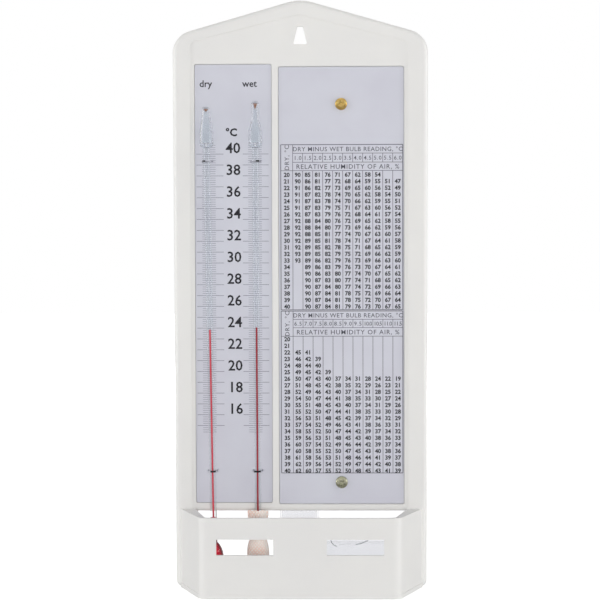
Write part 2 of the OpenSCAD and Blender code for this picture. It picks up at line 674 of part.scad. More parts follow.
// Space inside the flask, drawn in by t, up to the height top
module flask_space(t, top) {
    left = -leg_off - leg_w / 2 + flask_t + t;
    leg_right = -leg_off + leg_w / 2 - flask_t - t;
    right = flask_right - flask_t - t;
    foot = flask_floor_z + t;
    lid = min(side_z - flask_t - t, top);
    head = leg_top_z - flask_t - t;
    r = flask_r - flask_t;
    fronted(flask_back_y - flask_t - t, flask_y + flask_t + t) {
        polygon(rounded([[left, foot], [right, foot], [right, lid], [left, lid]],
            [r, r, top > side_z ? r : 0, 0]));
        if (top > side_z)
            polygon(rounded([[left, foot + flask_r], [leg_right, foot + flask_r],
                [leg_right, head], [left, head]], [0, 0, flask_r, flask_r]));
    }
}
// Space inside the open trough up to the height top, and its mouth into the flask
module trough_space(t, top) {
    wall_x = -leg_off - leg_w / 2;
    fronted(flask_back_y - flask_t - t, flask_y + flask_t + t) {
        polygon(rounded([[trough_x + flask_t + t, flask_floor_z + t], [wall_x - t, flask_floor_z + t],
            [wall_x - t, top], [trough_x + flask_t + t, top]], [flask_r - flask_t, 0, 0, 0]));
        translate([wall_x - flask_t, flask_floor_z + t]) square([3 * flask_t, mouth_h - 2 * t]);
    }
}

// Flask: a closed leg and side chamber over an open trough, like a bird drinker
module feeder_flask() color(clear) difference() {
    left = -leg_off - leg_w / 2;
    fronted(flask_back_y, flask_y) polygon(rounded([[trough_x, flask_foot_z], [flask_right, flask_foot_z],
        [flask_right, side_z], [left + leg_w, side_z], [left + leg_w, leg_top_z], [left, leg_top_z],
        [left, trough_z], [trough_x, trough_z]],
        [flask_r, flask_r, flask_r, flask_r / 2, flask_r + flask_t, flask_r + flask_t, 0, 0]));
    flask_space(0, leg_top_z);
    trough_space(0, trough_z + cut);
}

module feeder_water() color(water_tint) difference() {
    union() {
        flask_space(liquid_gap, up(water_up));
        trough_space(liquid_gap, mouth_z + trough_water);
    }
    // The tail hangs in the water with a gap round it
    half_w = tail_w / 2 + tail_gap;
    half_t = tail_t / 2 + tail_gap;
    box([wet_x - half_w, dip_y - half_t, flask_floor_z + tail_t], [wet_x + half_w, dip_y + half_t, trough_z]);
}

base_moulding();
scale_plate();
table_plate();
table_screw_top();
table_screw_bottom();
dry_thermometer_glass();
dry_spirit();
wet_thermometer_glass();
wet_spirit();
dry_clip_upper();
dry_clip_lower();
wet_clip_upper();
wet_clip_lower();
wick_sleeve();
wick_tie_upper();
wick_tie_lower();
wick_tail();
feeder_flask();
feeder_water();
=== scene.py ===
import math

import bpy
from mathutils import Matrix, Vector


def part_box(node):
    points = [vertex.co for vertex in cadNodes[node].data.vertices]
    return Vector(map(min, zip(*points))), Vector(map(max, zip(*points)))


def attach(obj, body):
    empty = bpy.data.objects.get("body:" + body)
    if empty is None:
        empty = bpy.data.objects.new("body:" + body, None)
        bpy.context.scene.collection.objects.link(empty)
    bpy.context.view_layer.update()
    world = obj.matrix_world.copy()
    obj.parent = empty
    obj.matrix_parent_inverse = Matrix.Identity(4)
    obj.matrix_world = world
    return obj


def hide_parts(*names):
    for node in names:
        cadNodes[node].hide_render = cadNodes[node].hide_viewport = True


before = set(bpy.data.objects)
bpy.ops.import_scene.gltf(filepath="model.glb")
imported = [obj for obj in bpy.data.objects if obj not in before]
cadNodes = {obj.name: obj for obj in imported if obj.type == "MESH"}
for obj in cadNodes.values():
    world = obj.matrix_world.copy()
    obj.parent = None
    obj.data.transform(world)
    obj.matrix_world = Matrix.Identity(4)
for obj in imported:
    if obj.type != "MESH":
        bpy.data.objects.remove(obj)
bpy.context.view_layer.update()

# Lengths in the dictionaries are real millimetres; the scene is in metres.
mm = 0.001
scene = bpy.context.scene
scene.view_settings.view_transform = "Standard"
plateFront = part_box("scale_plate")[0].y / mm
print("hygrometer: frame loaded,", len(cadNodes), "nodes")


# Small helpers for colours, nodes and selecting

def hexColour(code):
    # sRGB hex to the linear colour that the sockets take
    parts = [int(code[i:i + 2], 16) / 255 for i in (1, 3, 5)]
    return tuple(c / 12.92 if c <= 0.04045 else ((c + 0.055) / 1.055) ** 2.4 for c in parts) + (1,)


def addNode(mat, kind, settings=None, links=None):
    # settings: a lower-case name is an attribute, anything else a socket
    node = mat.node_tree.nodes.new("ShaderNode" + kind)
    for key, value in (settings or {}).items():
        if isinstance(key, str) and key.islower():
            setattr(node, key, value)
        else:
            node.inputs[key].default_value = value
    for key, source in (links or {}).items():
        mat.node_tree.links.new(source, node.inputs[key])
    return node


def newMaterial(name):
    mat = bpy.data.materials.new(name)
    mat.use_nodes = True
    mat.node_tree.nodes.clear()
    return mat


def output(mat, surface):
    addNode(mat, "OutputMaterial", links={"Surface": surface})
    return mat


def pick(*objects):
    # only these are selected, and the first is active
    bpy.ops.object.select_all(action="DESELECT")
    for obj in objects:
        obj.select_set(True)
    bpy.context.view_layer.objects.active = objects[0]


def applyPlace(obj):
    pick(obj)
    bpy.ops.object.transform_apply(location=True, rotation=True, scale=True)


def applyModifiers(obj):
    pick(obj)
    for modifier in list(obj.modifiers):
        bpy.ops.object.modifier_apply(modifier=modifier.name)


def paint(obj, mat):
    obj.data.materials.clear()
    obj.data.materials.append(mat)


def seat(obj, body, slotName, mat, *nodes):
    # material, body, a slot name that is not used, and the CAD nodes that it stands for
    paint(obj, mat)
    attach(obj, body)
    if nodes:
        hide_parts(*nodes)


skin = {
    "merge": 0.002,   # points closer than this become one
    "flat": 0.5,      # faces that turn less than this, in degrees, become one
}


def copyOfNode(nodeName, pieceName):
    # a copy of the CAD mesh with its loose triangles merged into one skin
    obj = bpy.data.objects.new(pieceName, cadNodes[nodeName].data.copy())
    scene.collection.objects.link(obj)
    pick(obj)
    if obj.data.has_custom_normals:
        bpy.ops.mesh.customdata_custom_splitnormals_clear()
    bpy.ops.object.mode_set(mode="EDIT")
    bpy.ops.mesh.select_all(action="SELECT")
    bpy.ops.mesh.remove_doubles(threshold=skin["merge"] * mm)
    bpy.ops.mesh.dissolve_limited(angle_limit=math.radians(skin["flat"]))
    bpy.ops.object.mode_set(mode="OBJECT")
    return obj


def easeEdges(obj, radius, angle, segments=3):
    # moulded or rolled edges catch the light, so each gets its small radius
    bevel = obj.modifiers.new("edges", "BEVEL")
    bevel.width = radius * mm
    bevel.segments = segments
    bevel.limit_method = "ANGLE"
    bevel.angle_limit = math.radians(angle)
    bevel.use_clamp_overlap = True
    bevel.harden_normals = False
    applyModifiers(obj)


def smoothBy(obj, angle=32, flatFaces=False):
    pick(obj)
    bpy.ops.object.shade_smooth_by_angle(angle=math.radians(angle))
    if flatFaces:
        # the large flat faces keep their own normals beside the small rounded edges
        weighted = obj.modifiers.new("weighted", "WEIGHTED_NORMAL")
        weighted.keep_sharp = True
        weighted.weight = 100
        applyModifiers(obj)


def softened(points, radii, steps=5):
    # an outline's corners drawn to small arcs, each given by its radius
    outline = [points[0]]
    for before, corner, after, radius in zip(points, points[1:], points[2:], radii):
        corner = Vector(corner)
        back, ahead = Vector(before) - corner, Vector(after) - corner
        cut = radius * math.tan((math.pi - back.angle(ahead)) / 2)
        start = corner + back.normalized() * cut
        end = corner + ahead.normalized() * cut
        for step in range(steps + 1 if radius else 1):
            t = step / steps
            outline.append(tuple(start * (1 - t) ** 2 + corner * 2 * t * (1 - t) + end * t ** 2))
    return outline + [points[-1]]


def turned(name, stations, sides, closed=True):
    # one ring drawn up through stations of (radius, height), as on a lathe
    radius, height = stations[0]
    bpy.ops.object.select_all(action="DESELECT")
    bpy.ops.mesh.primitive_circle_add(vertices=sides, radius=radius * mm,
                                      fill_type="NGON" if closed else "NOTHING",
                                      location=(0, 0, height * mm))
    obj = bpy.context.active_object
    obj.name = name
    bpy.ops.object.mode_set(mode="EDIT")
    for (wasRadius, wasHeight), (radius, height) in zip(stations, stations[1:]):
        rise = (0, 0, (height - wasHeight) * mm)
        bpy.ops.mesh.extrude_region_move(TRANSFORM_OT_translate={"value": rise})
        grow = radius / wasRadius
        bpy.ops.transform.resize(value=(grow, grow, 1), center_override=(0, 0, height * mm))
    bpy.ops.mesh.select_all(action="SELECT")
    bpy.ops.mesh.normals_make_consistent(inside=False)
    bpy.ops.object.mode_set(mode="OBJECT")
    applyPlace(obj)
    return obj


def turnInside(obj):
    # a cavity's skin faces into it
    pick(obj)
    bpy.ops.object.mode_set(mode="EDIT")
    bpy.ops.mesh.select_all(action="SELECT")
    bpy.ops.mesh.flip_normals()
    bpy.ops.object.mode_set(mode="OBJECT")


def traced(name, paths, radius, resolution=2, smoothAngle=60):
    # round threads along paths of points, made a mesh
    data = bpy.data.curves.new(name, "CURVE")
    data.dimensions = "3D"
    data.bevel_depth = radius * mm
    data.bevel_resolution = resolution
    data.use_fill_caps = True
    for points in paths:
        spline = data.splines.new("POLY")
        spline.points.add(len(points) - 1)
        for knot, place in zip(spline.points, points):
            knot.co = (*(c * mm for c in place), 1)
    obj = bpy.data.objects.new(name, data)
    scene.collection.objects.link(obj)
    pick(obj)
    bpy.ops.object.convert(target="MESH")
    obj = bpy.context.active_object
    smoothBy(obj, smoothAngle)
    return obj


def between(table, x):
    # straight lines between the rows of a table
    for (x0, y0), (x1, y1) in zip(table, table[1:]):
        if x <= x1:
            return y0 + (y1 - y0) * max(0, x - x0) / (x1 - x0)
    return table[-1][1]


# Camera at the photograph's place

view = {
    # place of the lens, then its turns in degrees
    "eye": (18.45, -943.74, -96.12),
    "pitch": -2.123,
    "yaw": 1.157,
    "roll": 0.152,
    "lens": 116.07,
    "sensor": 36,
    "clip": (50, 50000),      # nothing nearer or farther is drawn
}


def placeCamera():
    data = bpy.data.cameras.new("camera")
    data.lens = view["lens"]
    data.sensor_width = view["sensor"]
    data.clip_start, data.clip_end = (end * mm for end in view["clip"])
    camera = bpy.data.objects.new("camera", data)
    scene.collection.objects.link(camera)
    camera.location = Vector(view["eye"]) * mm
    camera.rotation_euler = (math.radians(90 + view["pitch"]), math.radians(view["roll"]),
                             math.radians(view["yaw"]))
    scene.camera = camera


placeCamera()
print("hygrometer: camera placed")


# Pale floor, white surroundings and soft lamps

studio = {
    "floorHeight": -292,
    "floorSize": 7000,
    "floorColour": "#f1f1f0",
    # the floor's own glow near the object, where its shadow shows, and far away; then both distances
    "floorLift": (0.45, 1.0),
    "floorReach": (400, 1200),
    "skyColour": "#fbfbfd",
    "skyStrength": 0.31,
    # place, aim, width, height, watts and whether it shows in glossy surfaces, for each lamp
    "lamps": {
        "leftSoftbox": ((-1250, -260, -70), (0, -20, -180), 1250, 800, 8.5, True),
        "rightSoftbox": ((1250, -260, -70), (0, -20, -180), 1250, 800, 9, True),
        "frontSoftbox": ((0, -2400, 0), (0, 0, -200), 1100, 420, 20.9, False),
        "backSoftbox": ((0, 1700, 500), (0, 0, -180), 900, 900, 14, False),
        "topSoftbox": ((0, -200, 1400), (0, 0, -100), 900, 900, 2.5, True),
    },
}


def floorMaterial():
    # matt near-white floor that glows to white far away, so that no horizon shows
    mat = newMaterial("matt_studio_floor")
    diffuse = addNode(mat, "BsdfDiffuse", {"Color": hexColour(studio["floorColour"])})
    path = addNode(mat, "LightPath")
    seen = addNode(mat, "Math", {"operation": "MAXIMUM"},
                   {0: path.outputs["Is Camera Ray"], 1: path.outputs["Is Transmission Ray"]})
    where = addNode(mat, "TexCoord")
    level = addNode(mat, "Mapping", {"Scale": (1, 1, 0)}, {"Vector": where.outputs["Object"]})
    far = addNode(mat, "VectorMath", {"operation": "LENGTH"}, {0: level.outputs[0]})
    near, away = studio["floorReach"]
    low, high = studio["floorLift"]
    amount = addNode(mat, "MapRange", {"From Min": near * mm, "From Max": away * mm,
                                       "To Min": low, "To Max": high}, {"Value": far.outputs["Value"]})
    lift = addNode(mat, "Math", {"operation": "MULTIPLY"}, {0: seen.outputs[0], 1: amount.outputs[0]})
    glow = addNode(mat, "Emission", {"Color": (1, 1, 1, 1)}, {"Strength": lift.outputs[0]})
    both = addNode(mat, "AddShader", links={0: diffuse.outputs[0], 1: glow.outputs[0]})
    return output(mat, both.outputs[0])


def makeStudio():
    bpy.ops.mesh.primitive_plane_add(size=studio["floorSize"] * mm,
                                     location=(0, 0, studio["floorHeight"] * mm))
    floor = bpy.context.active_object
    floor.name = "floor"
    applyPlace(floor)
    paint(floor, floorMaterial())
    for name, (place, aim, width, height, watts, gloss) in studio["lamps"].items():
        lamp = bpy.data.lights.new(name, "AREA")
        lamp.shape = "RECTANGLE"
        lamp.size, lamp.size_y = width * mm, height * mm
        lamp.energy = watts
        obj = bpy.data.objects.new(name, lamp)
        scene.collection.objects.link(obj)
        # seen only as light and highlights, so that the glass shows the white surroundings
        obj.visible_camera = obj.visible_transmission = False
        obj.visible_glossy = gloss
        obj.location = Vector(place) * mm
        obj.rotation_euler = (Vector(aim) - Vector(place)).to_track_quat("-Z", "Y").to_euler()
    world = bpy.data.worlds.new("white_surroundings")
    scene.world = world
    world.use_nodes = True
    world.node_tree.nodes.clear()
    path = addNode(world, "LightPath")
    mirror = addNode(world, "Math", {"operation": "MAXIMUM"},
                     {0: path.outputs["Is Glossy Ray"], 1: path.outputs["Is Transmission Ray"]})
    direct = addNode(world, "Math", {"operation": "MAXIMUM"},
                     {0: path.outputs["Is Camera Ray"], 1: mirror.outputs[0]})
    soft = addNode(world, "Background", {"Color": hexColour(studio["skyColour"]),
                                         "Strength": studio["skyStrength"]})
    white = addNode(world, "Background", {"Color": (1, 1, 1, 1), "Strength": 1.0})
    mix = addNode(world, "MixShader", links={0: direct.outputs[0], 1: soft.outputs[0], 2: white.outputs[0]})
    addNode(world, "OutputWorld", links={"Surface": mix.outputs[0]})


makeStudio()
print("hygrometer: studio lit")


# Materials, each named for what the real piece is made of

def objectPlace(mat, scale=(1000, 1000, 1000)):
    # Object coordinates are metres, so this scale gives millimetres
    where = addNode(mat, "TexCoord")
    place = addNode(mat, "Mapping", {"Scale": scale}, {"Vector": where.outputs["Object"]})
    return place.outputs[0]


def noise(mat, place, scale, detail=3):
    # soft clouds, from 0 to 1
    return addNode(mat, "TexNoise", {"Scale": scale, "Detail": detail}, {"Vector": place}).outputs["Fac"]


def ramped(mat, fac, low, high, start=0.3, end=0.7):
    # two tones, mixed where a pattern lies between start and end
    ramp = addNode(mat, "ValToRGB", links={"Fac": fac})
    first, last = ramp.color_ramp.elements
    first.position, last.position = start, end
    first.color, last.color = hexColour(low), hexColour(high)
    return ramp.outputs["Color"]


def ranged(mat, value, low, high):
    # a pattern from 0 to 1 brought between low and high
    return addNode(mat, "MapRange", {"To Min": low, "To Max": high}, {"Value": value}).outputs[0]


def relief(mat, height, strength, depth):
    # fine relief of a surface; depth in millimetres
    bump = addNode(mat, "Bump", {"Strength": strength, "Distance": depth * mm}, {"Height": height})
    return bump.outputs[0]


def mottled(mat, place, low, high, scale):
    # two close tones in clouds, and the clouds themselves
    clouds = noise(mat, place, scale)
    return ramped(mat, clouds, low, high), clouds


def mouldedPolystyrene():
    # high-impact polystyrene from a polished mould: white with a soft sheen, faint flow clouds
    mat = newMaterial("moulded_polystyrene")
    place = objectPlace(mat)
    colour, _ = mottled(mat, place, low="#e1e0de", high="#e5e4e1", scale=0.03)
    grain = noise(mat, place, scale=2.2, detail=2)
    rough = ranged(mat, grain, low=0.34, high=0.46)
    bump = relief(mat, grain, strength=0.08, depth=0.02)
    body = addNode(mat, "BsdfPrincipled", {"IOR": 1.59, "Subsurface Weight": 0.06,
                   "Subsurface Radius": (1.0, 0.9, 0.8), "Subsurface Scale": 0.6 * mm},
                   {"Base Color": colour, "Roughness": rough, "Normal": bump})
    return output(mat, body.outputs[0])


def lacqueredAluminium():
    # thin aluminium sheet under a grey lacquer: cool grey, satin, fine upright rolling grain
    mat = newMaterial("lacquered_aluminium")
    place = objectPlace(mat)
    colour, _ = mottled(mat, place, low="#c9c9d3", high="#cecfd8", scale=0.05)
    rolled = objectPlace(mat, (4000, 4000, 90))
    grain = noise(mat, rolled, scale=1.0)
    rough = ranged(mat, grain, low=0.3, high=0.45)
    bump = relief(mat, grain, strength=0.06, depth=0.01)
    body = addNode(mat, "BsdfPrincipled", {"IOR": 1.5},
                   {"Base Color": colour, "Roughness": rough, "Normal": bump})
    return output(mat, body.outputs[0])


def screenInk(name, code, shade=0.8):
    # a thin dried film, such as screen-printed ink: matt, in slightly uneven tones
    mat = newMaterial(name)
    place = objectPlace(mat)
    darker = "#" + "".join(format(int(int(code[i:i + 2], 16) * shade), "02x") for i in (1, 3, 5))
    colour, _ = mottled(mat, place, low=darker, high=code, scale=2.5)
    body = addNode(mat, "BsdfPrincipled", {"Roughness": 0.6, "IOR": 1.48}, {"Base Color": colour})
    return output(mat, body.outputs[0])


def clearMaterial(name, tint, ior, roughness=0.0):
    # clear and glossy; lets lamp and bounced light straight through, so that what lies behind
    # stays evenly lit
    mat = newMaterial(name)
    body = addNode(mat, "BsdfPrincipled", {"Base Color": hexColour(tint), "Roughness": roughness,
                                           "IOR": ior, "Transmission Weight": 1.0})
    through = addNode(mat, "BsdfTransparent", {"Color": hexColour(tint)})
    path = addNode(mat, "LightPath")
    straight = addNode(mat, "Math", {"operation": "MAXIMUM"},
                       {0: path.outputs["Is Shadow Ray"], 1: path.outputs["Is Diffuse Ray"]})
    mix = addNode(mat, "MixShader",
                  links={0: straight.outputs[0], 1: body.outputs[0], 2: through.outputs[0]})
    return output(mat, mix.outputs[0])


def dyedSpirit(name, thread, bulb, edge, neckHeight, neckFade=3):
    # methylated spirit with red dye: a bright thread in the bore, crimson in the bulb. The bulb has painted
    # light and shade: lighter where its surface faces front or back, darker at its sides, standing in for
    # light that passes from the wall to the front
    mat = newMaterial(name)
    where = addNode(mat, "TexCoord")
    # painted shade: the bulb turns to the edge colour where its surface faces sideways
    normal = addNode(mat, "SeparateXYZ", links={0: where.outputs["Normal"]})
    paintedShadeFacing = addNode(mat, "Math", {"operation": "ABSOLUTE"}, {0: normal.outputs["Y"]})
    bulbPaintedShade = ramped(mat, paintedShadeFacing.outputs[0], edge, bulb, start=0.35, end=0.85)
    heights = addNode(mat, "SeparateXYZ", links={0: where.outputs["Object"]})
    above = addNode(mat, "MapRange", {"From Min": (neckHeight - neckFade) * mm,
                                      "From Max": neckHeight * mm}, {"Value": heights.outputs["Z"]})
    colour = addNode(mat, "Mix", {"data_type": "RGBA", 7: hexColour(thread)},
                     {0: above.outputs[0], 6: bulbPaintedShade})
    body = addNode(mat, "BsdfPrincipled", {"Roughness": 0.3, "IOR": 1.36, "Specular IOR Level": 0.25},
                   {"Base Color": colour.outputs[2]})
    return output(mat, body.outputs[0])


def drawnWire(name, low, high, roughness):
    # drawn steel wire: a hard shine, a little cloudy
    mat = newMaterial(name)
    place = objectPlace(mat)
    colour, clouds = mottled(mat, place, low, high, scale=1.4)
    rough = ranged(mat, clouds, low=roughness, high=roughness + 0.15)
    body = addNode(mat, "BsdfPrincipled", {"Metallic": 1.0}, {"Base Color": colour, "Roughness": rough})
    return output(mat, body.outputs[0])


def platedSteel(name, low, high, bloom):
    # plated steel screw: bright uneven metal with a thin coloured bloom
    mat = newMaterial(name)
    place = objectPlace(mat)
    colour, clouds = mottled(mat, place, low, high, scale=0.9)
    tinted = addNode(mat, "Mix", {"data_type": "RGBA", 7: hexColour(bloom)},
                     {0: noise(mat, place, scale=0.5, detail=1), 6: colour})
    rough = ranged(mat, clouds, low=0.16, high=0.3)
    bump = relief(mat, clouds, strength=0.15, depth=0.01)
    body = addNode(mat, "BsdfPrincipled", {"Metallic": 1.0},
                   {"Base Color": tinted.outputs[2], "Roughness": rough, "Normal": bump})
    return output(mat, body.outputs[0])


def wovenCotton(name, low, high, stainColour, threadPitch, translucent, turn):
    # loose plain weave: soft, matt, light comes through; drawn coarser than the real 0.4 mm thread
    mat = newMaterial(name)
    flat = addNode(mat, "TexCoord").outputs["UV"]
    mapping = addNode(mat, "Mapping", {"Rotation": (0, 0, math.radians(turn))}, {"Vector": flat})
    place = mapping.outputs[0]
    threads = []
    for direction in ("X", "Y"):
        wave = addNode(mat, "TexWave", {"wave_type": "BANDS", "bands_direction": direction,
                       "wave_profile": "SIN", "Scale": math.pi / (10 * threadPitch), "Distortion": 1.6,
                       "Detail": 1.0, "Detail Scale": 0.6}, {"Vector": place})
        threads.append(wave.outputs["Fac"])
    weave = addNode(mat, "Math", {"operation": "MULTIPLY"}, dict(enumerate(threads))).outputs[0]
    cloud = noise(mat, place, scale=160, detail=2)
    light = addNode(mat, "Math", {"operation": "MULTIPLY_ADD", 1: 0.6}, {0: weave, 2: cloud})
    clean = ramped(mat, light.outputs[0], low, high, start=0.42, end=0.88)
    # faint pink patches
    patch = noise(mat, flat, scale=90, detail=1)
    stained = addNode(mat, "MapRange", {"From Min": 0.52, "From Max": 0.72, "To Max": 0.7},
                      {"Value": patch})
    mixed = addNode(mat, "Mix", {"data_type": "RGBA", 7: hexColour(stainColour)},
                    {0: stained.outputs[0], 6: clean})
    colour = mixed.outputs[2]
    bump = relief(mat, weave, strength=0.7, depth=0.2)
    body = addNode(mat, "BsdfPrincipled", {"Roughness": 0.9, "Sheen Weight": 0.2, "Sheen Roughness": 0.5},
                   {"Base Color": colour, "Normal": bump})
    through = addNode(mat, "BsdfTranslucent", links={"Color": colour, "Normal": bump})
    mix = addNode(mat, "MixShader", {0: translucent}, {1: body.outputs[0], 2: through.outputs[0]})
    return output(mat, mix.outputs[0])


def spunThread():
    # two-ply cotton thread: matt white with fine fibre shading
    mat = newMaterial("cotton_thread")
    place = objectPlace(mat)
    colour, clouds = mottled(mat, place, low="#d6cfc2", high="#f0ece3", scale=1.8)
    bump = relief(mat, clouds, strength=0.4, depth=0.05)
    body = addNode(mat, "BsdfPrincipled", {"Roughness": 0.92, "Sheen Weight": 0.2},
                   {"Base Color": colour, "Normal": bump})
    return output(mat, body.outputs[0])


finishes = {
    "white": mouldedPolystyrene(),
    "plate": lacqueredAluminium(),
    "ink": screenInk("black_screen_ink", "#201e26"),
    "ruleInk": screenInk("dark_grey_screen_ink", "#5c5c68"),
    "tickInk": screenInk("grey_screen_ink", "#77788c"),
    # a lower index than glass has, 1.5, because the real stems hardly glare
    "glass": clearMaterial("drawn_soda_glass", "#f6f8f9", 1.35),
    # from neckHeight up the spirit has the thread's tone
    # bulb and edge are the bulb's painted light and painted shade: lighter facing front or back, darker at
    # its sides
    "drySpirit": dyedSpirit("red_spirit", thread="#d24654", bulb="#fb1c40", edge="#76081a",
                            neckHeight=-236),
    "wetSpirit": dyedSpirit("dark_red_spirit", thread="#a02e38", bulb="#d01c34", edge="#4a000a",
                            neckHeight=-238),
    "brightWire": drawnWire("tinned_steel_wire", "#b2b3bc", "#c6c7cf", 0.4),
    # dark wire: painted dark reflection on the clips' front faces
    "darkWire": drawnWire("painted_dark_reflection_wire", "#1c1b1d", "#3a3839", 0.35),
    "brass": platedSteel("yellow_zinc_plating", "#c9ab52", "#e6d68c", "#a8804c"),
    "nickel": platedSteel("nickel_plating", "#aaa892", "#d9d7c4", "#7d8060"),
    # the weave is drawn at 45 degrees to the sleeve's length
    "cotton": wovenCotton("cotton_cambric", low="#f8dacd", high="#fffaf3", stainColour="#f8cdc5",
                          threadPitch=1.25 * mm, translucent=0.1, turn=45),
    "thread": spunThread(),
    "clear": clearMaterial("clear_polystyrene", "#f3f3f5", 1.55, roughness=0.02),
    "water": clearMaterial("distilled_water", "#f8f9fa", 1.33),
    # grey of the lines at the water's edge: painted shade
    "waterEdgeShade": screenInk("painted_water_edge_shade", "#bfc4c8"),
    "driedSpirit": screenInk("dried_spirit", "#a5745c"),
}
print("hygrometer: materials mixed")


# Base moulding: the CAD skin with its small edge radii

base = {"edge": 0.35, "edgeAngle": 40}


def makeBase():
    obj = copyOfNode("base_moulding", "base_shell")
    easeEdges(obj, base["edge"], base["edgeAngle"])
    smoothBy(obj, flatFaces=True)
    seat(obj, "base", "white_plastic", finishes["white"], "base_moulding")


makeBase()
print("hygrometer: base moulded")


# The two plates with their eased edges

plates = {"edge": 0.2, "edgeAngle": 50, "edgeSteps": 2, "smoothAngle": 50}


def makePlates():
    for name in ("scale_plate", "table_plate"):
        obj = copyOfNode(name, name + "_sheet")
        easeEdges(obj, plates["edge"], plates["edgeAngle"], plates["edgeSteps"])
        smoothBy(obj, plates["smoothAngle"], flatFaces=True)
        seat(obj, "base", "plate_print", finishes["plate"], name)


makePlates()
print("hygrometer: plates cut")


# Printing on the plates: digits, ticks and rules as thin films of ink

ink = {
    "thick": 0.03,        # height of the film, half of it sunk
    # shares of that height, so that two bars which cross share no face
    "cross": 0.9,
    "fine": 0.8,
    "digitShare": 0.73,   # height of a digit in the font, as a share of its size
    "curveSteps": 2,
}


def inkBar(name, x, z, width, height, stretch=1.0):
    # a thin bar of ink, from its middle; stretch thickens the film
    bpy.ops.mesh.primitive_cube_add(size=1)
    bar = bpy.context.active_object
    bar.name = name
    bar.scale = (width * mm, ink["thick"] * stretch * mm, height * mm)
    bar.location = (x * mm, plateFront * mm, z * mm)
    applyPlace(bar)
    return bar


def inkText(name, words, height, x, z, bold=0.0, lineStep=0, spread=1.0, turn=0):
    # lines of text; x is the column's middle and z the first line's baseline
    size = height / ink["digitShare"]
    data = bpy.data.curves.new(name, "FONT")
    data.body = words
    data.size = size * mm
    data.align_x = "CENTER"
    data.space_character = spread
    data.align_y = "TOP_BASELINE"
    data.offset = bold * mm
    data.extrude = ink["thick"] / 2 * mm
    data.resolution_u = ink["curveSteps"]
    if lineStep:
        data.space_line = lineStep / size
    obj = bpy.data.objects.new(name, data)
    scene.collection.objects.link(obj)
    pick(obj)
    bpy.ops.object.convert(target="MESH")
    obj = bpy.context.active_object
    obj.rotation_euler = (math.radians(90), math.radians(-turn), 0)
    obj.location = (x * mm, plateFront * mm, z * mm)
    applyPlace(obj)
    return obj


def joined(name, parts):
    pick(*parts)
    bpy.ops.object.join()
    obj = bpy.context.active_object
    obj.name = name
    return obj


def rowOf(bar, count, dx=0, dz=0):
    # one bar repeated at an even step
    array = bar.modifiers.new("row", "ARRAY")
    array.count = count
    array.use_relative_offset = False
    array.use_constant_offset = True
    array.constant_offset_displace = (dx * mm, 0, dz * mm)
    applyModifiers(bar)
    return bar


scaleMarks = {
    "lowLine": -190.8,       # height of the 15 degree line
    "lowDegree": 15,
    "degree": 5.21,          # length of one degree
    "topDegree": 40,
    "firstLabel": 16,
    "labelStep": 2,
    "minorStep": 0.2,
    "minorLow": 14.4,
    "minorHigh": 40.8,
    "lineWidth": 0.22,
    "minorWidth": 0.16,
    # left and right ends of the ticks beside each stem
    "dryMajor": (-49.7, -36.8),
    "dryMinor": (-47.1, -40.6),
    "wetMajor": (-27.6, -15.2),
    "wetMinor": (-25.0, -18.5),
    "digits": 5.15,
    "digitsX": (-32.2, -31.3),   # middle of the labels at 40 and at 16 degrees
    "digitsUp": 0.5,             # baseline over the line that a label names
    "bold": 0.11,
    # words, their height, middle, baseline and boldness
    "unit": ("°C", 3.7, -33.0, -51.9, 0.17),
    "dry": ("dry", 3.3, -45.2, -28.5, 0.07),
    "wet": ("wet", 3.3, -24.2, -28.5, 0.07),
}


def lineHeight(degrees):
    marks = scaleMarks
    return marks["lowLine"] + (degrees - marks["lowDegree"]) * marks["degree"]


def printScale():
    marks = scaleMarks
    ticks = []
    for side in ("dry", "wet"):
        left, right = marks[side + "Major"]
        bar = inkBar(side + "Major", (left + right) / 2, lineHeight(marks["lowDegree"]), right - left,
                     marks["lineWidth"])
        ticks.append(rowOf(bar, marks["topDegree"] - marks["lowDegree"] + 1, dz=marks["degree"]))
        left, right = marks[side + "Minor"]
        bar = inkBar(side + "Minor", (left + right) / 2, lineHeight(marks["minorLow"]), right - left,
                     marks["minorWidth"], ink["fine"])
        count = round((marks["minorHigh"] - marks["minorLow"]) / marks["minorStep"]) + 1
        ticks.append(rowOf(bar, count, dz=marks["degree"] * marks["minorStep"]))
    seat(joined("scale_ticks", ticks), "base", "plate_print", finishes["tickInk"])
    words = []
    top, bottom = marks["digitsX"]
    for degrees in range(marks["firstLabel"], marks["topDegree"] + 1, marks["labelStep"]):
        share = (marks["topDegree"] - degrees) / (marks["topDegree"] - marks["firstLabel"])
        x = top + share * (bottom - top)
        words.append(inkText("label", str(degrees), marks["digits"], x,
                             lineHeight(degrees) + marks["digitsUp"], marks["bold"]))
    for key in ("unit", "dry", "wet"):
        body, height, x, z, bold = marks[key]
        words.append(inkText(key, body, height, x, z, bold))
    seat(joined("scale_digits", words), "base", "plate_print", finishes["ink"])


printScale()
print("hygrometer: scale printed")


# Humidity tables: the numbers follow the psychrometric formula

